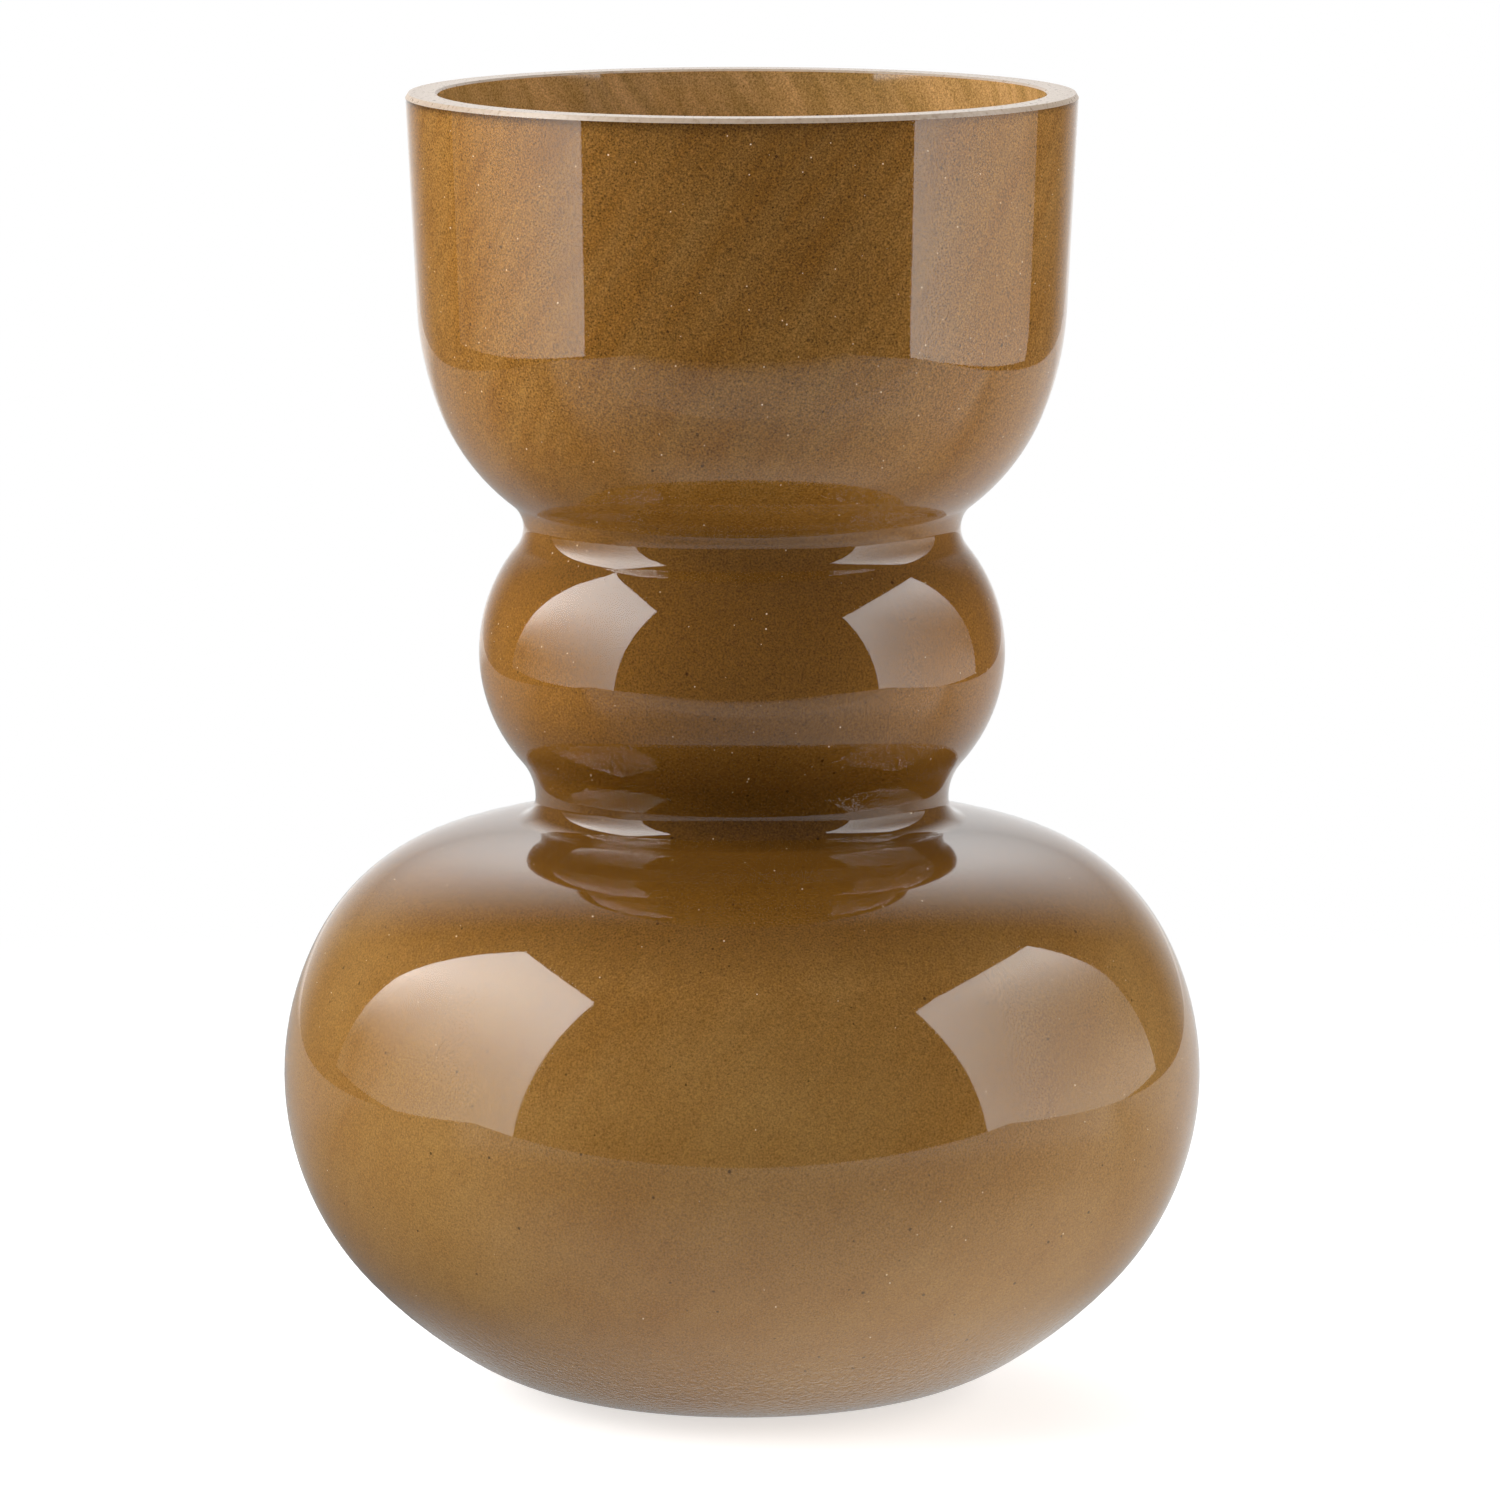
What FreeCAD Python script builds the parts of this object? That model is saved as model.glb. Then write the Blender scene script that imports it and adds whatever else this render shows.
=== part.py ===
import FreeCAD, Part
import math
import os

# A gourd vase of cased glass: a round bulb, a bead and a straight-sided bowl, one above the other.
# Lengths are in millimetres and angles in degrees. +Z is up, and the vase stands on z = 0 around the Z axis.
# The glass is turned about that axis, so its shape is one outline from the underside to the rim.

# Glass: a clear casing outside a thicker layer of colour
wall_thickness = 7.3
casing_thickness = 2.0

# Underside: a hollow dome inside a rolled lip and a flat ring that the vase stands on
dome_height = 3.0
lip_rounding = 5.0
ring_width = 3.5

# Bulb: arcs named from the ring up, with the steepness of the glass where each one hands over
bulb_width = 211.2
foot_rounding = 62.7
foot_turn = 58.0
flank_rounding = 113.0
flank_turn = 43.6
side_rounding = 67.4
side_turn = 27.6
shoulder_rounding = 49.0
crown_start_slope = 18.4
crown_end_slope = 6.0
crown_fillet = 5.1

# Cavity: its floor meets the wall in a tighter arc, which leaves the base thicker than the wall
floor_rounding = 25.0

# Bead: cut in to a neck below and another above
bead_width = 120.8
bead_rounding = 37.6
lower_neck_depth = 12.9
lower_neck_fillet = 13.3
upper_neck_depth = 10.2
upper_neck_fillet = 7.6

# Bowl: two arcs that open out into a straight wall with a slight flare
bowl_width = 153.6
bowl_fillet = 7.0
bowl_rounding = 50.1
bowl_turn = 22.3
cheek_rounding = 72.7
wall_flare = 2.88
wall_height = 49.3

# Rim: ground flat, with its two edges bevelled
outer_bevel_width = 0.7
outer_bevel_height = 1.1
inner_bevel = 0.5


def cosine(angle):
    return math.cos(math.radians(angle))


def sine(angle):
    return math.sin(math.radians(angle))


def turn_for(depth, *radii):
    # The turn after which arcs of these radii, one hollow and one full, have moved the glass in or out by depth
    return math.degrees(math.acos(1 - depth / sum(radii)))


class Outline:
    # A run of arcs and straight lines in the plane of the axis, drawn upwards from the underside.
    # Each begins where the last one ended and faces the same way, so the outline has no corner.
    # The facing is the angle of the outward normal: -90 looks down, 0 looks out and 90 looks up.
    def __init__(self, z, inset=0.0):
        self.r = 0.0
        self.z = z
        self.facing = -90.0
        self.inset = inset
        self.edges = []

    def point(self):
        return FreeCAD.Vector(self.r, 0, self.z)

    def arc(self, rounding, facing):
        # A full arc has its centre in the glass, so it shrinks with the inset
        self.turn(rounding - self.inset, facing)

    def hollow(self, rounding, facing):
        self.turn(-rounding - self.inset, facing)

    def turn(self, radius, facing):
        start = self.point()
        centre_r = self.r - radius * cosine(self.facing)
        centre_z = self.z - radius * sine(self.facing)
        halfway = (self.facing + facing) / 2
        middle = FreeCAD.Vector(centre_r + radius * cosine(halfway), 0, centre_z + radius * sine(halfway))
        self.r = centre_r + radius * cosine(facing)
        self.z = centre_z + radius * sine(facing)
        self.facing = facing
        self.edges.append(Part.Arc(start, middle, self.point()).toShape())

    def straight(self, length):
        start = self.point()
        self.r -= length * sine(self.facing)
        self.z += length * cosine(self.facing)
        self.edges.append(Part.LineSegment(start, self.point()).toShape())


# Radii from the axis
bulb_radius = bulb_width / 2
bead_radius = bead_width / 2
lower_neck_radius = bead_radius - lower_neck_depth
upper_neck_radius = bead_radius - upper_neck_depth

# The ring's outer edge lies where the three arcs under the bulb have drawn its radius in
ring_radius = (
    bulb_radius
    - side_rounding * (1 - cosine(flank_turn))
    - flank_rounding * (cosine(flank_turn) - cosine(foot_turn))
    - foot_rounding * cosine(foot_turn)
)

# The dome and the lip together rise to the dome's height over the width inside the ring
dome_radius = ring_radius - ring_width
dome_turn = 2 * math.degrees(math.atan(dome_height / dome_radius))
dome_rounding = dome_radius / sine(dome_turn) - lip_rounding

# The crown is one slow arc that covers what the others leave between the shoulder and the lower neck
crown_start = 90 - crown_start_slope
crown_end = 90 - crown_end_slope
crown_rounding = (
    bulb_radius
    - lower_neck_radius
    - side_rounding * (1 - cosine(side_turn))
    - shoulder_rounding * (cosine(side_turn) - cosine(crown_start))
    - crown_fillet * (1 - cosine(crown_end))
) / (cosine(crown_start) - cosine(crown_end))

# The bead turns from each neck's hollow into its own round
bead_low_turn = turn_for(lower_neck_depth, bead_rounding, lower_neck_fillet)
bead_high_turn = turn_for(upper_neck_depth, bead_rounding, upper_neck_fillet)

# The bowl's arcs start at the turn that brings the wall out to the rim's radius
wall_gain = wall_height * sine(wall_flare) / cosine(wall_flare)
cheek_gain = cheek_rounding * (cosine(wall_flare) - cosine(bowl_turn))
bowl_gain = bowl_width / 2 - upper_neck_radius - wall_gain - cheek_gain + bowl_rounding * (1 - cosine(bowl_turn))
bowl_start = turn_for(bowl_gain, bowl_fillet, bowl_rounding)


def draw_sides(outline):
    outline.arc(flank_rounding, -flank_turn)
    outline.arc(side_rounding, 0)
    outline.arc(side_rounding, side_turn)
    outline.arc(shoulder_rounding, crown_start)
    outline.arc(crown_rounding, crown_end)
    outline.hollow(crown_fillet, 0)
    outline.hollow(lower_neck_fillet, -bead_low_turn)
    outline.arc(bead_rounding, bead_high_turn)
    outline.hollow(upper_neck_fillet, 0)
    outline.hollow(bowl_fillet, -bowl_start)
    outline.arc(bowl_rounding, -bowl_turn)
    outline.arc(cheek_rounding, -wall_flare)


def draw_wall(outline, bevel_height=0.0):
    # The rim is ground level, so a wall that lies further in is cut shorter along its slope
    flare_rise = outline.inset * sine(wall_flare)
    outline.straight((wall_height - flare_rise - bevel_height) / cosine(wall_flare))


def glass_face(inset, bevel_height=0.0):
    # The outer face of the glass, or one that follows it from further in
    outline = Outline(dome_height + inset, inset)
    outline.hollow(dome_rounding, -90 - dome_turn)
    outline.arc(lip_rounding, -90)
    outline.straight(ring_width)
    outline.arc(foot_rounding, -foot_turn)
    draw_sides(outline)
    draw_wall(outline, bevel_height)
    return outline


def cavity_face():
    # The flat floor reaches as far out as its rounding leaves below the flank
    flank_start = ring_radius + (foot_rounding - wall_thickness) * cosine(foot_turn)
    foot_rise = (foot_rounding - wall_thickness) * (1 - sine(foot_turn))
    floor_height = wall_thickness + foot_rise - floor_rounding * (1 - sine(foot_turn))
    outline = Outline(floor_height, wall_thickness)
    outline.straight(flank_start - floor_rounding * cosine(foot_turn))
    outline.turn(floor_rounding, -foot_turn)
    draw_sides(outline)
    draw_wall(outline, inner_bevel)
    print("floor height", round(floor_height, 2))
    return outline


def turned_layer(outer, inner, rim_points):
    # The glass between two faces, closed along the axis below and over the rim above
    rim = [outer.point()] + rim_points + [inner.point()]
    rim_edges = [Part.LineSegment(rim[k], rim[k + 1]).toShape() for k in range(len(rim) - 1)]
    foot_edge = Part.LineSegment(outer.edges[0].firstVertex().Point, inner.edges[0].firstVertex().Point).toShape()
    wire = Part.Wire(Part.__sortEdges__(outer.edges + rim_edges + inner.edges + [foot_edge]))
    solid = Part.Face(wire).revolve(FreeCAD.Vector(0, 0, 0), FreeCAD.Vector(0, 0, 1), 360)
    return solid


def make_clear_casing():
    outer = glass_face(0.0, outer_bevel_height)
    inner = glass_face(casing_thickness)
    bevel_top = FreeCAD.Vector(bowl_width / 2 - outer_bevel_width, 0, inner.z)
    return turned_layer(outer, inner, [bevel_top])


def make_colour_layer():
    outer = glass_face(casing_thickness)
    inner = cavity_face()
    bevel_top = FreeCAD.Vector(inner.r + inner_bevel, 0, outer.z)
    return turned_layer(outer, inner, [bevel_top])


layers = {
    "clear_casing": make_clear_casing(),
    "colour_layer": make_colour_layer(),
}

os.makedirs("parts", exist_ok=True)
for name, shape in layers.items():
    shape.exportStep("parts/" + name + ".step")
    print(name, "volume", round(shape.Volume), "valid", shape.isValid(), "solids", len(shape.Solids))

print("rim height", round(glass_face(0.0).z, 2), "ring radius", round(ring_radius, 2))
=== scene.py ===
import math

import bmesh
import bpy
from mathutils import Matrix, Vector


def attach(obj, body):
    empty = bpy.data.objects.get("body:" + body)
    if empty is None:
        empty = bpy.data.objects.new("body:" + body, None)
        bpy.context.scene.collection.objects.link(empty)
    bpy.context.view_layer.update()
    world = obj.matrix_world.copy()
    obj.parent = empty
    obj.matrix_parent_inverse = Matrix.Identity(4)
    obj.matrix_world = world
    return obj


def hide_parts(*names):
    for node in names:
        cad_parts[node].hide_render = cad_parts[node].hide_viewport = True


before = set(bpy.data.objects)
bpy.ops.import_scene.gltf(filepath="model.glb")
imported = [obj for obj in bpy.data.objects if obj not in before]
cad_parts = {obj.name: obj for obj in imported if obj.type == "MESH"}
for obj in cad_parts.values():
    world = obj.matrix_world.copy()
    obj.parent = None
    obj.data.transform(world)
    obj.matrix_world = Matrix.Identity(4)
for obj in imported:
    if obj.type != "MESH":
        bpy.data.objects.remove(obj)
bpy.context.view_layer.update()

scene = bpy.context.scene
scene.view_settings.view_transform = "Standard"

# Sizes of the vase in metres and degrees, from the underside up
vase = {
    "height": 0.3,             # what the sizes below add up to, for shares of the height
    "casing": 0.0020,
    "wall": 0.0073,
    "domeHeight": 0.003,
    "lipRounding": 0.005,
    "ringWidth": 0.0035,
    "bulbWidth": 0.2112,
    "footRounding": 0.0627,
    "footTurn": 58.0,
    "flankRounding": 0.113,
    "flankTurn": 43.6,
    "sideRounding": 0.0674,
    "sideTurn": 27.6,
    "shoulderRounding": 0.049,
    "crownStartSlope": 18.4,
    "crownEndSlope": 6.0,
    "crownFillet": 0.0051,
    "floorRounding": 0.025,
    "beadWidth": 0.1208,
    "beadRounding": 0.0376,
    "lowerNeckDepth": 0.0129,
    "lowerNeckFillet": 0.0133,
    "upperNeckDepth": 0.0102,
    "upperNeckFillet": 0.0076,
    "bowlWidth": 0.1536,
    "bowlFillet": 0.007,
    "bowlRounding": 0.0501,
    "bowlTurn": 22.3,
    "cheekRounding": 0.0727,
    "wallFlare": 2.88,
    "wallHeight": 0.0493,
    "outerBevelWidth": 0.0007,
    "outerBevelHeight": 0.0011,
    "innerBevel": 0.0005,
}

turning = {
    "overlap": 0.00006,        # the casing reaches this far into the colour, so that no air shows between them
    "arcStep": 3.0,            # degrees of turn between two points of the outline
    "straightStep": 0.004,
    "segments": 240,
    "creaseAngle": 20.0,
    "samePoint": 1e-7,
    "mergeWithin": 1e-6,       # also the height under which a point stands on the ground
}


class Socket:
    # A socket that takes part in sums: each operator adds its Math node
    def __init__(self, nodes, output):
        self.nodes, self.output = nodes, output

    def __add__(self, other): return self.nodes.math("ADD", self, other)
    def __radd__(self, other): return self.nodes.math("ADD", other, self)
    def __sub__(self, other): return self.nodes.math("SUBTRACT", self, other)
    def __rsub__(self, other): return self.nodes.math("SUBTRACT", other, self)
    def __mul__(self, other): return self.nodes.math("MULTIPLY", self, other)
    def __truediv__(self, other): return self.nodes.math("DIVIDE", self, other)
    def __gt__(self, other): return self.nodes.math("GREATER_THAN", self, other)
    def __lt__(self, other): return self.nodes.math("LESS_THAN", self, other)

    def of(self, name):
        return Socket(self.nodes, self.output.node.outputs[name])


class Nodes:
    # One node tree, filled node by node
    def __init__(self, tree):
        self.tree = tree
        tree.nodes.clear()

    def add(self, kind, settings=None, sockets=None):
        node = self.tree.nodes.new(kind)
        for name, value in (settings or {}).items():
            if name == "stops":
                for k, (place, grey) in enumerate(value):
                    stop = node.color_ramp.elements[k] if k < 2 else node.color_ramp.elements.new(place)
                    stop.position, stop.color = place, (grey, grey, grey, 1)
            else:
                setattr(node, name, value)
        for name, value in (sockets or {}).items():
            if isinstance(value, Socket):
                self.tree.links.new(value.output, node.inputs[name])
            else:
                node.inputs[name].default_value = value
        return Socket(self, node.outputs[0]) if len(node.outputs) else node

    def math(self, operation, *values):
        return self.add("ShaderNodeMath", {"operation": operation}, dict(enumerate(values)))

    def smooth(self, value, low, high, start=0.0, end=1.0):
        return self.add("ShaderNodeMapRange", {"interpolation_type": "SMOOTHSTEP"},
                        {"Value": value, "From Min": low, "From Max": high, "To Min": start, "To Max": end})

    def within(self, value, low, high):
        return self.math("MINIMUM", self.math("MAXIMUM", value, low), high)

    def split(self, vector):
        parts = self.add("ShaderNodeSeparateXYZ", None, {0: vector})
        return parts, parts.of("Y"), parts.of("Z")

    def join(self, x, y, z):
        return self.add("ShaderNodeCombineXYZ", None, {0: x, 1: y, 2: z})


def addObject(name, data):
    made = bpy.data.objects.new(name, data)
    scene.collection.objects.link(made)
    return made


def cosine(angle):
    return math.cos(math.radians(angle))


def sine(angle):
    return math.sin(math.radians(angle))


def tangent(angle):
    return math.tan(math.radians(angle))


def turnFor(depth, *radii):
    # The turn after which a hollow arc and a full one have moved the glass in or out by depth
    return math.degrees(math.acos(1 - depth / sum(radii)))


class Outline:
    # Points of a run of arcs and straights, each starting where the last ended and facing the same way
    def __init__(self, z, inset=0.0):
        self.r, self.z, self.facing, self.inset = 0.0, z, -90.0, inset
        self.points = [(0.0, z)]

    def turn(self, radius, facing):
        centreR = self.r - radius * cosine(self.facing)
        centreZ = self.z - radius * sine(self.facing)
        count = max(2, math.ceil(abs(facing - self.facing) / turning["arcStep"]))
        for k in range(1, count + 1):
            angle = self.facing + (facing - self.facing) * k / count
            self.points.append((centreR + radius * cosine(angle), centreZ + radius * sine(angle)))
        self.r, self.z = self.points[-1]
        self.facing = facing

    def arc(self, rounding, facing):
        self.turn(rounding - self.inset, facing)

    def hollow(self, rounding, facing):
        self.turn(-rounding - self.inset, facing)

    def straight(self, length):
        count = max(1, math.ceil(length / turning["straightStep"]))
        startR, startZ = self.r, self.z
        for k in range(1, count + 1):
            reach = length * k / count
            self.points.append((startR - reach * sine(self.facing), startZ + reach * cosine(self.facing)))
        self.r, self.z = self.points[-1]


def ringRadius():
    v = vase
    return (v["bulbWidth"] / 2 - v["sideRounding"] * (1 - cosine(v["flankTurn"]))
            - v["flankRounding"] * (cosine(v["flankTurn"]) - cosine(v["footTurn"]))
            - v["footRounding"] * cosine(v["footTurn"]))


def drawSides(line):
    v = vase
    crownStart, crownEnd = 90 - v["crownStartSlope"], 90 - v["crownEndSlope"]
    lowerNeck = v["beadWidth"] / 2 - v["lowerNeckDepth"]
    upperNeck = v["beadWidth"] / 2 - v["upperNeckDepth"]
    crownRounding = (v["bulbWidth"] / 2 - lowerNeck - v["sideRounding"] * (1 - cosine(v["sideTurn"]))
                     - v["shoulderRounding"] * (cosine(v["sideTurn"]) - cosine(crownStart))
                     - v["crownFillet"] * (1 - cosine(crownEnd))) / (cosine(crownStart) - cosine(crownEnd))
    bowlGain = (v["bowlWidth"] / 2 - upperNeck - v["wallHeight"] * tangent(v["wallFlare"])
                - v["cheekRounding"] * (cosine(v["wallFlare"]) - cosine(v["bowlTurn"]))
                + v["bowlRounding"] * (1 - cosine(v["bowlTurn"])))
    line.arc(v["flankRounding"], -v["flankTurn"])
    line.arc(v["sideRounding"], 0)
    line.arc(v["sideRounding"], v["sideTurn"])
    line.arc(v["shoulderRounding"], crownStart)
    line.arc(crownRounding, crownEnd)
    line.hollow(v["crownFillet"], 0)
    line.hollow(v["lowerNeckFillet"], -turnFor(v["lowerNeckDepth"], v["beadRounding"], v["lowerNeckFillet"]))
    line.arc(v["beadRounding"], turnFor(v["upperNeckDepth"], v["beadRounding"], v["upperNeckFillet"]))
    line.hollow(v["upperNeckFillet"], 0)
    line.hollow(v["bowlFillet"], -turnFor(bowlGain, v["bowlFillet"], v["bowlRounding"]))
    line.arc(v["bowlRounding"], -v["bowlTurn"])
    line.arc(v["cheekRounding"], -v["wallFlare"])


def drawWall(line, bevel=0.0):
    rise = line.inset * sine(vase["wallFlare"])
    line.straight((vase["wallHeight"] - rise - bevel) / cosine(vase["wallFlare"]))


def glassFace(inset, bevel=0.0):
    v = vase
    domeRadius = ringRadius() - v["ringWidth"]
    domeTurn = 2 * math.degrees(math.atan(v["domeHeight"] / domeRadius))
    line = Outline(v["domeHeight"] + inset, inset)
    line.hollow(domeRadius / sine(domeTurn) - v["lipRounding"], -90 - domeTurn)
    line.arc(v["lipRounding"], -90)
    line.straight(v["ringWidth"])
    line.arc(v["footRounding"], -v["footTurn"])
    drawSides(line)
    drawWall(line, bevel)
    return line


def cavityFace():
    v = vase
    inside = v["footRounding"] - v["wall"]
    floorHeight = v["wall"] + (inside - v["floorRounding"]) * (1 - sine(v["footTurn"]))
    line = Outline(floorHeight, v["wall"])
    line.straight(ringRadius() + (inside - v["floorRounding"]) * cosine(v["footTurn"]))
    line.turn(v["floorRounding"], -v["footTurn"])
    drawSides(line)
    drawWall(line, v["innerBevel"])
    return line


# Each run of the outline has one finish: 0 glass, 1 ground flat, 2 the wall inside the vase
def joinRuns(*runs):
    points, finishes = [], []
    for finish, run in runs:
        run = [p for p in run if not points or (Vector(p) - Vector(points[-1])).length > turning["samePoint"]]
        points += run
        finishes += [finish] * len(run)
    return points, finishes[1:] + finishes[-1:]


def casingOutline():
    v = vase
    outer = glassFace(0.0, v["outerBevelHeight"])
    inner = glassFace(v["casing"] + turning["overlap"])
    bevelTop = (outer.r + v["outerBevelHeight"] * tangent(v["wallFlare"]) - v["outerBevelWidth"], inner.z)
    onGround = [k for k, p in enumerate(outer.points) if p[1] < turning["mergeWithin"]]
    ringStart, ringEnd = onGround[0] + 1, onGround[-1] + 1
    return joinRuns((0, outer.points[:ringStart]), (1, outer.points[ringStart:ringEnd]), (0, outer.points[ringEnd:]),
                    (1, [bevelTop, (inner.r, inner.z)]), (0, inner.points[::-1]))


def colourOutline():
    outer = glassFace(vase["casing"])
    inner = cavityFace()
    bevelTop = (inner.r + vase["innerBevel"], outer.z)
    return joinRuns((0, outer.points), (1, [bevelTop, inner.points[-1]]), (2, inner.points[::-1]))


def newTree(name, start, inputs):
    # A Geometry Nodes tree with named inputs, ready to be filled
    tree = bpy.data.node_groups.new(name, "GeometryNodeTree")
    for title, kind in ((start, "Geometry"), *inputs):
        tree.interface.new_socket(title, in_out="INPUT", socket_type="NodeSocket" + kind)
    tree.interface.new_socket("Geometry", in_out="OUTPUT", socket_type="NodeSocketGeometry")
    n = Nodes(tree)
    return tree, n, n.add("NodeGroupInput")


def makeTurningTree():
    # Turns an outline about the axis: a grid of one row for each point is laid round it and shut
    tree, n, given = newTree("turnedGlass", "Outline", (
        ("Segments", "Int"), ("Crease angle", "Float"),
        ("Glass", "Material"), ("Ground", "Material"), ("Inside", "Material")))
    outline, segments = given.of("Outline"), given.of("Segments")
    rowLength = segments + 1
    rows = n.add("GeometryNodeAttributeDomainSize", {"component": "MESH"}, {0: outline})
    grid = n.add("GeometryNodeMeshGrid", None, {"Vertices X": rows, "Vertices Y": rowLength})
    index = n.add("GeometryNodeInputIndex")
    kept = n.add("GeometryNodeInputNamedAttribute", {"data_type": "INT"}, {"Name": "finish"})

    row = n.math("FLOOR", (index + 0.5) / rowLength)
    spot = n.add("GeometryNodeSampleIndex", {"data_type": "FLOAT_VECTOR", "domain": "POINT"},
                 {"Geometry": outline, "Value": n.add("GeometryNodeInputPosition"), "Index": row})
    radius, _, height = n.split(spot)
    angle = (index - row * rowLength) / segments * math.tau
    turned = n.join(radius * n.math("COSINE", angle), radius * n.math("SINE", angle), height)
    wall = n.add("GeometryNodeSetPosition", None, {"Geometry": grid, "Position": turned})

    faceRow = n.math("FLOOR", (index + 0.5) / segments)
    finish = n.add("GeometryNodeSampleIndex", {"data_type": "INT", "domain": "POINT"},
                   {"Geometry": outline, "Value": kept, "Index": faceRow})
    named = n.add("GeometryNodeStoreNamedAttribute", {"data_type": "INT", "domain": "FACE"},
                  {"Geometry": wall, "Name": "finish", "Value": finish})
    shut = n.add("GeometryNodeMergeByDistance", None, {"Geometry": named, "Distance": turning["mergeWithin"]})
    crease = n.add("GeometryNodeInputMeshEdgeAngle") > given.of("Crease angle")
    smooth = n.add("GeometryNodeSetShadeSmooth", {"domain": "FACE"}, {0: shut, "Shade Smooth": True})
    smooth = n.add("GeometryNodeSetShadeSmooth", {"domain": "EDGE"},
                   {0: smooth, "Selection": crease, "Shade Smooth": False})
    finished = n.add("GeometryNodeRealizeInstances", None, {0: smooth})
    for value, name in enumerate(("Glass", "Ground", "Inside")):
        chosen = n.add("FunctionNodeCompare", {"data_type": "INT", "operation": "EQUAL"}, {2: kept, 3: value})
        finished = n.add("GeometryNodeSetMaterial", None,
                         {"Geometry": finished, "Selection": chosen, "Material": given.of(name)})
    n.add("NodeGroupOutput", None, {0: finished})
    return tree


def outlineMesh(name, points, finishes):
    mesh = bpy.data.meshes.new(name)
    mesh.from_pydata([(r, 0.0, z) for r, z in points], [(k, k + 1) for k in range(len(points) - 1)], [])
    mesh.attributes.new("finish", "INT", "POINT").data.foreach_set("value", finishes)
    return mesh


def applied(name, mesh, tree, given):
    # The mesh that a tree makes of a starting mesh, with the tree's inputs given by name
    start = addObject(name + "Start", mesh)
    modifier = start.modifiers.new(tree.name, "NODES")
    modifier.node_group = tree
    for item in tree.interface.items_tree:
        if item.name in given:
            modifier[item.identifier] = given[item.name]
    made = bpy.data.meshes.new_from_object(start.evaluated_get(bpy.context.evaluated_depsgraph_get()))
    bpy.data.objects.remove(start)
    while None in made.materials[:]:
        made.materials.pop(index=made.materials[:].index(None))
    made.name = name
    return made


def faceOutwards(piece):
    work = bmesh.new()
    work.from_mesh(piece.data)
    bmesh.ops.recalc_face_normals(work, faces=work.faces)
    openEdges = sum(1 for e in work.edges if len(e.link_faces) != 2)
    volume = work.calc_volume(signed=True)
    work.to_mesh(piece.data)
    work.free()
    print(piece.name, "open edges", openEdges, "volume ml", round(volume * 1e6, 1))


def turn(name, outline, materials):
    points, finishes = outline
    solid = applied(name, outlineMesh(name + "Outline", points, finishes), turningTree, {
        "Segments": turning["segments"], "Crease angle": math.radians(turning["creaseAngle"]),
        "Glass": materials[0], "Ground": materials[1], "Inside": materials[2]})
    piece = addObject(name, solid)
    faceOutwards(piece)
    print(name, sum(len(p.vertices) - 2 for p in solid.polygons), "triangles", [m.name for m in solid.materials])
    return piece


# Seeds: the small bubbles that the clear glass holds
seeds = {
    "depth": 0.0009,
    "perAreaAbove": 9500.0,    # to the square metre, on the bowl and the bead
    "perAreaBulb": 2400.0,
    "smallest": 0.00006,
    "largest": 0.00021,
    "bulbTop": 0.130,
    "lowest": 0.004,
    "highest": 0.2985,
    "surfaceSegments": 60,
    "fixedSeed": 4,
    "tintScale": 300.0,
    "dark": (0.75, 0.50, 0.22, 1),
    "light": (1.0, 0.90, 0.70, 1),
    "roughness": 0.25,
    # Painted glint: the seeds glow a little, though they are no lamp
    "glow": 0.08,
}


def makeSeedTree():
    tree, n, given = newTree("glassSeeds", "Surface", (
        ("Per area above", "Float"), ("Per area on the bulb", "Float"), ("Bulb top", "Float"),
        ("Smallest", "Float"), ("Largest", "Float"), ("Fixed seed", "Int"), ("Seed glass", "Material")))
    height = n.split(n.add("GeometryNodeInputPosition"))[2]
    bulb = height < given.of("Bulb top")
    density = bulb * given.of("Per area on the bulb") + (1 - bulb) * given.of("Per area above")
    spots = n.add("GeometryNodeDistributePointsOnFaces", None,
                  {"Mesh": given.of("Surface"), "Density": density, "Seed": given.of("Fixed seed")})
    size = n.add("FunctionNodeRandomValue", {"data_type": "FLOAT"},
                 {2: given.of("Smallest"), 3: given.of("Largest"), 8: given.of("Fixed seed")}).of(1)
    ball = n.add("GeometryNodeMeshIcoSphere", None, {"Radius": 1.0, "Subdivisions": 1})
    placed = n.add("GeometryNodeInstanceOnPoints", None, {"Points": spots, "Instance": ball, "Scale": size})
    loose = n.add("GeometryNodeRealizeInstances", None, {0: placed})
    smooth = n.add("GeometryNodeSetShadeSmooth", {"domain": "FACE"}, {0: loose, "Shade Smooth": True})
    finished = n.add("GeometryNodeSetMaterial", None, {"Geometry": smooth, "Material": given.of("Seed glass")})
    n.add("NodeGroupOutput", None, {0: finished})
    return tree


def makeSeeds():
    outline = glassFace(seeds["depth"]).points
    start = next(k for k, p in enumerate(outline) if p[0] > ringRadius() and p[1] > seeds["lowest"])
    points = [p for p in outline[start:] if p[1] < seeds["highest"]]
    surface = applied("seedSurface", outlineMesh("seedOutline", points, [0] * len(points)), turningTree, {
        "Segments": seeds["surfaceSegments"], "Crease angle": math.pi,
        "Glass": seedGlass, "Ground": seedGlass, "Inside": seedGlass})
    made = applied("seeds", surface, makeSeedTree(), {
        "Per area above": seeds["perAreaAbove"], "Per area on the bulb": seeds["perAreaBulb"],
        "Bulb top": seeds["bulbTop"], "Smallest": seeds["smallest"], "Largest": seeds["largest"],
        "Fixed seed": seeds["fixedSeed"], "Seed glass": seedGlass})
    piece = addObject("seeds", made)
    faceOutwards(piece)
    print("seeds", len(made.polygons) // 20)    # each has an icosahedron's 20 faces
    return piece


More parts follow.
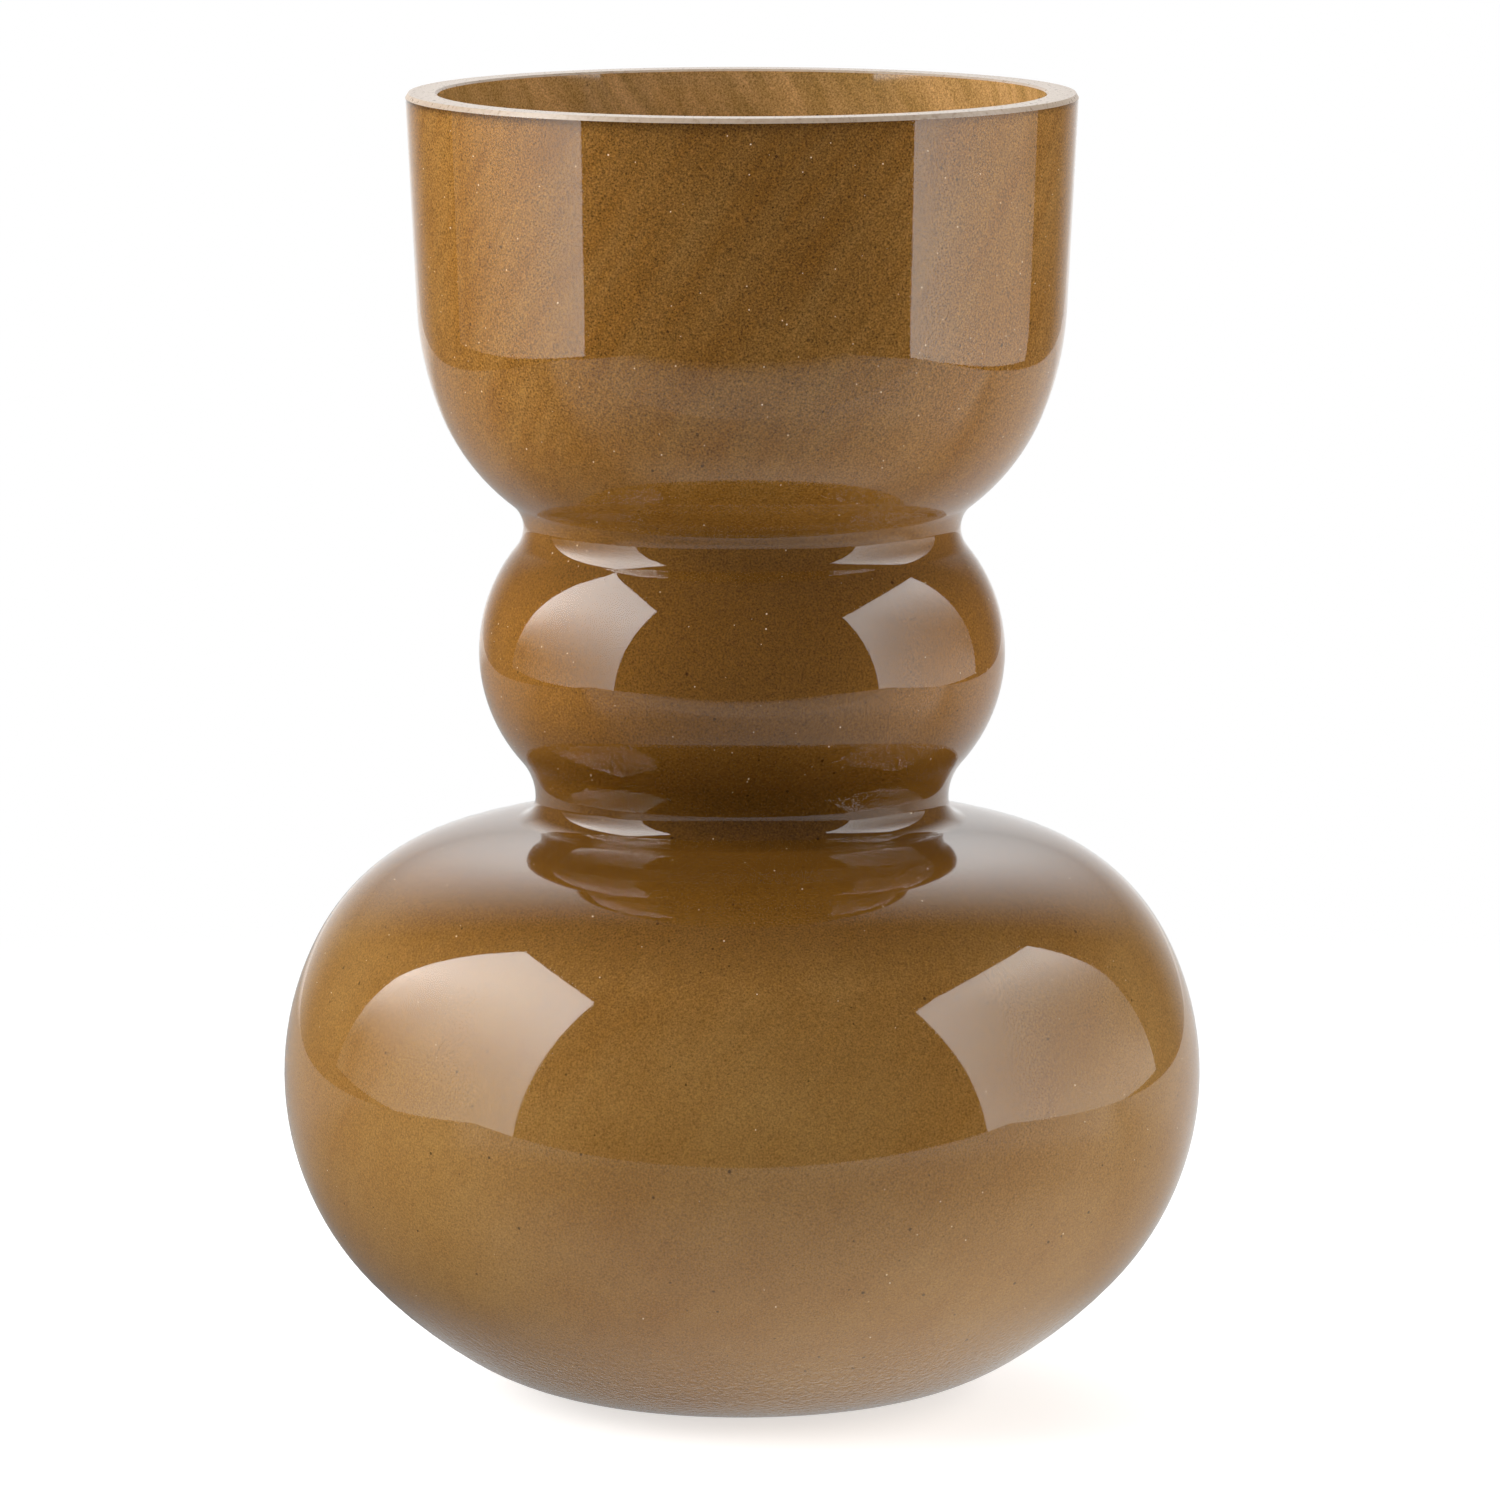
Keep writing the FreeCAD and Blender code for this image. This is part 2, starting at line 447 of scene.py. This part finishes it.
# Glass: colours are linear, scales are in noise waves to the metre, and heights and bumps are in metres
glass = {
    "light": (0.348, 0.198, 0.059, 1.0),
    "deep": (0.262, 0.107, 0.013, 1.0),
    # Painted light: the amber inside the vase is lighter than outside, in place of light that comes in through the
    # mouth and the wall
    "inside": (0.50, 0.285, 0.108, 1.0),
    "roughness": 0.03,
    "ior": 1.5,
    "haze": 0.02,              # roughness that comes and goes over the clear glass
    "hazeScale": 60.0,
    # Both by height, as a share of the vase's: how deep the colour is, together with painted shade that darkens the
    # necks and the shoulders, and how much painted shade darkens the glass where it is seen square on
    "depthAndShadeByHeight": ((0.0, 0.84), (0.05, 0.88), (0.12, 1.0), (0.28, 0.99), (0.36, 0.89), (0.405, 0.66),
                      (0.43, 0.54), (0.47, 0.57), (0.50, 0.68), (0.53, 0.86), (0.555, 0.96), (0.61, 0.87),
                      (0.645, 0.68), (0.67, 0.78), (0.70, 0.92), (0.74, 1.0), (0.80, 0.97)),
    "squareOnShade": ((0.0, 0.0), (0.36, 0.04), (0.42, 0.42), (0.50, 0.38), (0.56, 0.38), (0.62, 0.41), (0.68, 0.32),
                 (0.78, 0.22), (1.0, 0.27)),
    "squareOnTo": (0.14, 0.32),    # how far round that goes on the bulb and bowl, and on the necks
    "neckShade": 0.4,          # how much lower the colour's depth and painted shade by height is where the second of these holds
    "squareOnDeepens": 2.0,
    # Painted light: the glass is made lighter towards its edges, between these facings
    "paintedEdgeLight": 0.10,
    "edgeFrom": (0.3, 0.8),
    "grain": 2.3,
    "grainScale": 2300.0,
    "grainDetail": (2.0, 0.7),
    "grainOnBulb": 0.7,        # of the grain, low on the bulb
    "bulbRise": (0.03, 0.16),
    "grainOnBowl": 1.5,        # and on the bowl
    "bowlRise": (0.205, 0.245),
    "grainHaze": 0.04,
    "cloud": 0.48,
    "cloudScale": 20.0,
    "cloudDetail": (3.0, 0.55),
    "streak": 0.60,
    "streakInside": 1.2,
    "streakScale": 150.0,
    "streakDetail": (3.0, 0.6),
    "streakTwist": 9.0,        # radians to the metre, so that the streaks climb to the right
    "streakStretch": 0.2,      # of the height, which draws them out
    "streakRise": (0.19, 0.225),
    "streakBelow": 0.25,
    "toneSpread": 2.2,         # from the clouds and streaks to the mix of the two colours
    "toneLevel": 0.35,         # and to their lightness
    "speckScale": 300.0,
    "speckSize": 0.13,
    "speckShare": 0.42,
    "speckDark": 0.6,
    "pebble": 0.00032,
    "pebbleScale": 900.0,
    "pebbleTop": (0.008, 0.034),
    "wave": 0.00010,
    "waveScale": 26.0,
    "insideBump": 0.6,
}

ground = {
    "dark": (0.36, 0.26, 0.18, 1),
    "light": (0.58, 0.47, 0.37, 1),
    "scratchScale": 900.0,
    "roughness": 0.2,
    "scratchRoughness": 0.2,
    "bump": 0.25,
    "bumpHeight": 0.0002,
}


def newMaterial(name):
    material = bpy.data.materials.new(name)
    material.use_nodes = True
    return material, Nodes(material.node_tree)


def noise(n, where, scale, detail=2.0, roughness=0.5):
    return n.add("ShaderNodeTexNoise", {"noise_dimensions": "3D"},
                 {"Vector": where, "Scale": scale, "Detail": detail, "Roughness": roughness})


def mixColour(n, share, first, second):
    return n.add("ShaderNodeMix", {"data_type": "RGBA"}, {0: share, 6: first, 7: second}).of(2)


def objectPlace(n):
    return n.add("ShaderNodeTexCoord").of("Object")


def principled(n, sockets):
    return n.add("ShaderNodeBsdfPrincipled", None, sockets)


def emission(n, strength):
    return n.add("ShaderNodeEmission", None, {"Strength": strength})


def mixShader(n, share, first, second):
    return n.add("ShaderNodeMixShader", None, {0: share, 1: first, 2: second})


def showSurface(n, surface):
    n.add("ShaderNodeOutputMaterial", None, {"Surface": surface})


def twisted(n, x, y, z):
    # The place turned about the axis by its height, which lays what is drawn there along a helix
    angle = z * -glass["streakTwist"]
    c, s = n.math("COSINE", angle), n.math("SINE", angle)
    return n.join(x * c - y * s, x * s + y * c, z * glass["streakStretch"])


def pebbled(n, where, z, strength=1.0):
    # Soft waves all over, and the pebbled skin near the foot
    foot = n.smooth(z, *glass["pebbleTop"], 1.0, 0.0)
    height = (noise(n, where, glass["pebbleScale"], 1.0) * foot * glass["pebble"]
              + noise(n, where, glass["waveScale"], 1.0) * glass["wave"])
    return n.add("ShaderNodeBump", None, {"Strength": strength, "Distance": 1.0, "Height": height})


def makeClearGlass():
    # Light for the amber beneath passes straight through, and only what is seen or mirrored is bent
    material, n = newMaterial("clearGlass")
    where = objectPlace(n)
    body = principled(n, {
        "Base Color": (1, 1, 1, 1), "IOR": glass["ior"], "Transmission Weight": 1.0,
        "Roughness": glass["roughness"] + noise(n, where, glass["hazeScale"]) * glass["haze"],
        "Normal": pebbled(n, where, n.split(where)[2])})
    through = n.add("ShaderNodeBsdfTransparent", None, {"Color": (1, 1, 1, 1)})
    ray = n.add("ShaderNodeLightPath")
    showSurface(n, mixShader(n, n.math("MAXIMUM", ray.of("Is Shadow Ray"), ray.of("Is Diffuse Ray")), body, through))
    return material


def makeAmber(name, specular, inside=False):
    material, n = newMaterial(name)
    where = objectPlace(n)
    x, y, z = n.split(where)
    clouds = noise(n, where, glass["cloudScale"], *glass["cloudDetail"])
    streaks = noise(n, twisted(n, x, y, z), glass["streakScale"], *glass["streakDetail"])
    streakShare = n.smooth(z, *glass["streakRise"], glass["streakBelow"], 1.0)
    streak = glass["streakInside" if inside else "streak"]
    tone = (clouds - 0.5) * glass["cloud"] + (streaks - 0.5) * streak * streakShare

    share = n.within(tone * glass["toneSpread"] + 0.5, 0.0, 1.0)
    # Painted shade by height in the necks and on the shoulders, along with the colour's depth; where the glass is
    # seen square on, the colour also turns deeper
    if not inside:
        depth, squareOnShade = (n.add("ShaderNodeValToRGB", {"stops": glass[stops]}, {0: z / vase["height"]})
                           for stops in ("depthAndShadeByHeight", "squareOnShade"))
        share = share * (1 - squareOnShade * glass["squareOnDeepens"])
    light, deep = (glass["inside"], glass["light"]) if inside else (glass["light"], glass["deep"])
    colour = mixColour(n, share, deep, light)

    grain = noise(n, where, glass["grainScale"], *glass["grainDetail"])
    grainShare = (n.smooth(z, *glass["bulbRise"], glass["grainOnBulb"], 1.0)
                  * n.smooth(z, *glass["bowlRise"], 1.0, 1.0 if inside else glass["grainOnBowl"]) * glass["grain"])
    spots = n.add("ShaderNodeTexVoronoi", {"feature": "F1"}, {"Vector": where, "Scale": glass["speckScale"]})
    chance, largest, _ = n.split(spots.of("Color"))
    specks = (chance < glass["speckShare"]) * (spots < largest * glass["speckSize"]) * glass["speckDark"]
    level = (1 + tone * glass["toneLevel"] + (grain - 0.5) * grainShare) * (1 - specks)
    if not inside:
        # Painted shade where the glass is seen square on, reaching further round on the necks
        facing = n.add("ShaderNodeLayerWeight", None, {"Blend": 0.5}).of("Facing")
        wide, neck = glass["squareOnTo"]
        reach = wide + (1 - depth) * ((neck - wide) / glass["neckShade"])
        # The last factor paints the glass lighter where it turns away at its edges
        level = (level * depth * (1 - squareOnShade * n.smooth(facing, 0.0, reach, 1.0, 0.0))
                 * n.smooth(facing, *glass["edgeFrom"], 1.0, 1.0 + glass["paintedEdgeLight"]))
    sockets = {"Base Color": n.add("ShaderNodeVectorMath", {"operation": "SCALE"}, {0: colour, "Scale": level}),
               "Roughness": glass["roughness"] + grain * glass["grainHaze"],
               "IOR": glass["ior"], "Specular IOR Level": specular}
    if inside:
        sockets["Normal"] = pebbled(n, where, z, glass["insideBump"])
    showSurface(n, principled(n, sockets))
    return material


def makeGroundGlass():
    material, n = newMaterial("groundGlass")
    scratches = noise(n, objectPlace(n), ground["scratchScale"], 3.0)
    bump = n.add("ShaderNodeBump", None,
                 {"Strength": ground["bump"], "Distance": ground["bumpHeight"], "Height": scratches})
    showSurface(n, principled(n, {
        "Base Color": mixColour(n, scratches, ground["dark"], ground["light"]), "IOR": glass["ior"],
        "Roughness": ground["roughness"] + scratches * ground["scratchRoughness"], "Normal": bump}))
    return material


def makeSeedGlass():
    material, n = newMaterial("seedGlass")
    colour = mixColour(n, noise(n, objectPlace(n), seeds["tintScale"]), seeds["dark"], seeds["light"])
    # The emission paints the seeds' bright glints
    showSurface(n, principled(n, {
        "Base Color": colour, "Roughness": seeds["roughness"], "IOR": glass["ior"],
        "Emission Color": colour, "Emission Strength": seeds["glow"]}))
    return material


clearGlass = makeClearGlass()
amberUnderGlass = makeAmber("amberUnderGlass", 0.0)
amberInsidePaintedLight = makeAmber("amberInsidePaintedLight", 0.5, inside=True)
groundGlass = makeGroundGlass()
seedGlass = makeSeedGlass()
print("materials made")

turningTree = makeTurningTree()
casing = turn("clearCasing", casingOutline(), (clearGlass, groundGlass, amberInsidePaintedLight))
colour = turn("colourLayer", colourOutline(), (amberUnderGlass, groundGlass, amberInsidePaintedLight))
for piece, node, slot in ((casing, "clear_casing", "clear_glass"), (colour, "colour_layer", "amber_glass")):
    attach(piece, "root")
    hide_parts(node)
bubbles = makeSeeds()
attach(bubbles, "root")


# Studio: a white table, a white wall behind it and a softbox on each side
# Places are in metres from the vase, a level of light of 1 is white, and a pair is from where to where
studio = {
    "floor": (8.0, -0.0002),           # its reach and height
    "floorWhite": 0.75,
    "floorLift": 0.62,                 # what a camera ray adds to it, so that it is near white beside the shadow
    "shadowReach": (0.25, 0.7),
    "table": (0.75, -0.34),            # half its width, and its front edge
    "front": (1.65, 4.6, 0.64),        # light in front of the vase: at its foot, its fall with each metre, the least
    "frontRise": (0.28, 0.45, 0.36),   # its rise again, between these reaches
    "frontSlant": (1.2, 0.2),          # its rise with each metre to the right, and the most that this comes to
    "beside": (0.34, 1.5, 0.22, 0.53),      # light beside it: in the middle, its rise to the right, least, most
    "besideFrom": (-0.125, -0.02, 0.25),    # where that takes over: between these places, which slant to the right
    "behind": (0.05, 0.25, 0.25),      # what is added behind it
    "foot": (0.06, 0.11, 0.36),        # and close round the foot
    "tableShadeNear": (0.03, 0.085, 0.5),   # painted shadow under the bulb: between these reaches, beginning with this share
    "tableFar": (0.5, 1.6),
    "apron": (2.2, -3.0, -0.819),      # half the width, place and height of the apron's far end
    "apronTop": -0.0004,
    "apronGlow": (0.25, 0.95),         # its light at the far end and at the table
    "apronFade": -2.4,
    "room": 0.1,
    "wall": 0.95,
    "wallEdge": 0.75,                  # the cosine of the turn from straight behind at which it ends
    "wallTop": (0.4, 0.7),
    "ceiling": 2.7,
    "ceilingEdge": 0.7,
    "ceilingTilt": 42.0,               # degrees up from the level, at the back
}
# A softbox's light falls from the inner edge to the outer, rises from the lower edge up, and has a skirt at the foot
skirtReach = (0.04, 0.2)
leftBox = {
    "corners": ((-0.849, 0.435, 0.052), (-1.230, -0.790, -0.180), (-1.048, -1.056, 1.339), (-1.047, -0.026, 1.408)),
    "strength": 8.2,
    "lowInner": 0.45,
    "lowOuter": 0.04,
    "fall": 0.45,
    "rise": (0.08, 0.87, -0.48),       # from and to, and how much later it ends at the outer edge
    "skirt": 0.0,
}
rightBox = {
    "corners": ((0.723, 0.426, 0.033), (1.249, -0.668, -0.183), (1.109, -0.913, 1.094), (0.856, 0.241, 0.842)),
    "strength": 5.3,
    "lowInner": 0.73,
    "lowOuter": 0.13,
    "fall": 0.62,
    "rise": (0.28, 0.94, 0.0),
    "skirt": 0.5,
}


def makeSheet(name, corners, material, seen):
    mesh = bpy.data.meshes.new(name)
    mesh.from_pydata(corners, [], [(0, 1, 2, 3)])
    uv = mesh.uv_layers.new(name="across")
    for loop, spot in zip(uv.data, ((1, 0), (0, 0), (0, 1), (1, 1))):
        loop.uv = spot
    mesh.materials.append(material)
    sheet = addObject(name, mesh)
    if not seen:
        sheet.visible_camera = False
        sheet.visible_shadow = False


def tableLight(n, x, y, reach):
    # The light that the glass mirrors from the table
    glow, fall, least = studio["front"]
    slope, most = studio["frontSlant"]
    starts, ends, rise = studio["frontRise"]
    front = (n.math("MAXIMUM", glow - reach * fall, least) + n.within(x * slope, -most, most)
             + n.smooth(reach, starts, ends, 0.0, rise))
    middle, slope, least, most = studio["beside"]
    starts, ends, light = studio["behind"]
    beside = n.within(x * slope + middle, least, most) + n.smooth(y, starts, ends, 0.0, light)
    starts, ends, light = studio["foot"]
    beside = beside + n.smooth(reach, starts, ends, light, 0.0)
    starts, ends, slant = studio["besideFrom"]
    share = n.smooth(y - x * slant, starts, ends)
    starts, ends, shade = studio["tableShadeNear"]
    lit = (front * (1 - share) + beside * share) * n.smooth(reach, starts, ends, shade, 1.0)
    return n.math("MAXIMUM", lit, n.smooth(y, *studio["tableFar"]))


def makeFloor():
    # To the camera a white floor that keeps the vase's shadow, and to every other ray the lit table
    material, n = newMaterial("tableWhite")
    x, y, _ = n.split(objectPlace(n))
    reach = n.math("SQRT", x * x + y * y)
    white = n.add("ShaderNodeBsdfDiffuse", None, {"Color": (studio["floorWhite"],) * 3 + (1,)})
    near = n.add("ShaderNodeAddShader", None, {0: white, 1: emission(n, studio["floorLift"])})
    shown = mixShader(n, n.smooth(reach, *studio["shadowReach"]), near, emission(n, 1.0))
    half, edge = studio["table"]
    onTable = (x > -half) * (x < half) * (y > edge)
    table = mixShader(n, onTable, n.add("ShaderNodeBsdfTransparent"), emission(n, tableLight(n, x, y, reach)))
    showSurface(n, mixShader(n, n.add("ShaderNodeLightPath"), table, shown))
    s, z = studio["floor"]
    makeSheet("floor", [(-s, -s, z), (s, -s, z), (s, s, z), (-s, s, z)], material, seen=True)


def makeApron():
    # Paper that runs down from the table's front edge, where the bowl would mirror a dark gap
    half, edge = studio["table"]
    farHalf, y, z = studio["apron"]
    top = studio["apronTop"]
    material, n = newMaterial("apronWhite")
    place = n.split(objectPlace(n))[1]
    showSurface(n, emission(n, n.smooth(place, studio["apronFade"], edge, *studio["apronGlow"])))
    corners = [(-half, edge, top), (half, edge, top), (farHalf, y, z), (-farHalf, y, z)]
    makeSheet("apron", corners, material, seen=False)


def makeSoftbox(name, box):
    material, n = newMaterial(name)
    u, v, _ = n.split(n.add("ShaderNodeTexCoord").of("UV"))
    low = n.math("MAXIMUM", box["lowInner"] - u * box["fall"], box["lowOuter"])
    starts, ends, later = box["rise"]
    high = n.smooth(v, starts, ends + u * later)
    skirt = u * n.smooth(v, *skirtReach, 1.0, 0.0) * box["skirt"]
    showSurface(n, emission(n, (low + (1 - low) * high) * box["strength"] + skirt))
    makeSheet(name, box["corners"], material, seen=False)


def makeRoom():
    world = bpy.data.worlds.new("studio")
    scene.world = world
    world.use_nodes = True
    n = Nodes(world.node_tree)
    x, y, z = n.split(n.add("ShaderNodeTexCoord"))
    level = n.math("MAXIMUM", n.math("SQRT", x * x + y * y), 0.001)
    edge = studio["wallEdge"]
    behind = n.math("MAXIMUM", (y / level - edge) / (1 - edge), 0.0)
    wall = behind * behind * studio["wall"] * n.smooth(z, *studio["wallTop"], 1.0, 0.0)
    tilt, edge = studio["ceilingTilt"], studio["ceilingEdge"]
    above = n.math("MAXIMUM", (y * cosine(tilt) + z * sine(tilt) - edge) / (1 - edge), 0.0)
    light = n.math("MAXIMUM", wall, above * above * studio["ceiling"]) + studio["room"]
    seen = n.add("ShaderNodeLightPath")
    n.add("ShaderNodeOutputWorld", None, {"Surface": n.add("ShaderNodeBackground", None, {
        "Color": (1, 1, 1, 1), "Strength": light * (1 - seen) + seen})})


makeFloor()
makeApron()
makeSoftbox("leftSoftbox", leftBox)
makeSoftbox("rightSoftbox", rightBox)
makeRoom()
print("studio made")

# Camera fitted to the outline and the rim's two ellipses
view = {"place": (0.0, -2.40015, 0.48581), "down": 7.9987, "lens": 253.01, "sensor": 36.0, "shiftX": 0.0053}
camera = addObject("camera", bpy.data.cameras.new("camera"))
camera.location = view["place"]
camera.rotation_euler = (math.radians(90 - view["down"]), 0.0, 0.0)
camera.data.lens = view["lens"]
camera.data.sensor_width = view["sensor"]
camera.data.shift_x = view["shiftX"]
scene.camera = camera
print("camera set")

bpy.context.view_layer.update()
